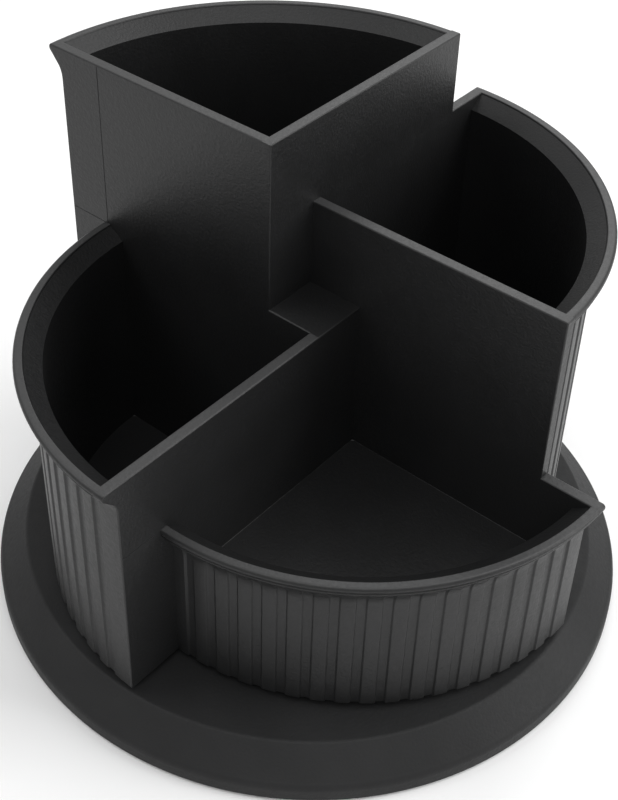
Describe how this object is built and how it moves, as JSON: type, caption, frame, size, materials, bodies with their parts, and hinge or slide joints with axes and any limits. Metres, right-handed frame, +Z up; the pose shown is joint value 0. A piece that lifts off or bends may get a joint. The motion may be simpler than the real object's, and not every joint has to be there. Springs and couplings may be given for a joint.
{
  "type": "desk organizer",
  "caption": "Rotating desk organizer with quarter-round compartments of stepped height in a pinwheel plan, ribbed curved walls and flared rims, above a low round base.",
  "frame": {"origin": "on the turning axis, at the level the feet stand on", "axes": "+Z up along the turning axis; the compartments' flat walls run along X and Y at rest, the tallest compartment towards -X +Y and the clip tray towards +X -Y"},
  "size_m": [0.16, 0.16, 0.1223],
  "materials": {
    "body_plastic": "black, fine matte texture",
    "base_plastic": "black, fine matte texture",
    "cage_plastic": "natural, smooth",
    "steel": "zinc plated or polished",
    "foot_rubber": "matte"
  },
  "bodies": {
    "base": {"base_shell": "base_plastic", "foot_1": "foot_rubber", "foot_2": "foot_rubber", "foot_3": "foot_rubber", "foot_4": "foot_rubber", "foot_5": "foot_rubber", "foot_6": "foot_rubber"},
    "turntable": {"organizer_body": "body_plastic", "pivot_washer": "steel", "pivot_screw": "steel"},
    "ball_ring": {"ball_cage": "cage_plastic", "ball_1": "steel", "ball_2": "steel", "ball_3": "steel", "ball_4": "steel", "ball_5": "steel", "ball_6": "steel", "ball_7": "steel", "ball_8": "steel", "ball_9": "steel", "ball_10": "steel", "ball_11": "steel", "ball_12": "steel"}
  },
  "joints": [
    {"name": "turntable_spin", "type": "hinge", "parent": "base", "child": "turntable", "pos_m": [0, 0, 0.0129], "axis": [0, 0, 1], "continuous": true},
    {"name": "ball_ring_spin", "type": "hinge", "parent": "base", "child": "ball_ring", "pos_m": [0, 0, 0.0129], "axis": [0, 0, 1], "continuous": true}
  ],
  "couplings": [
    {"joint": "ball_ring_spin", "follows": "turntable_spin", "ratio": 0.5}
  ]
}
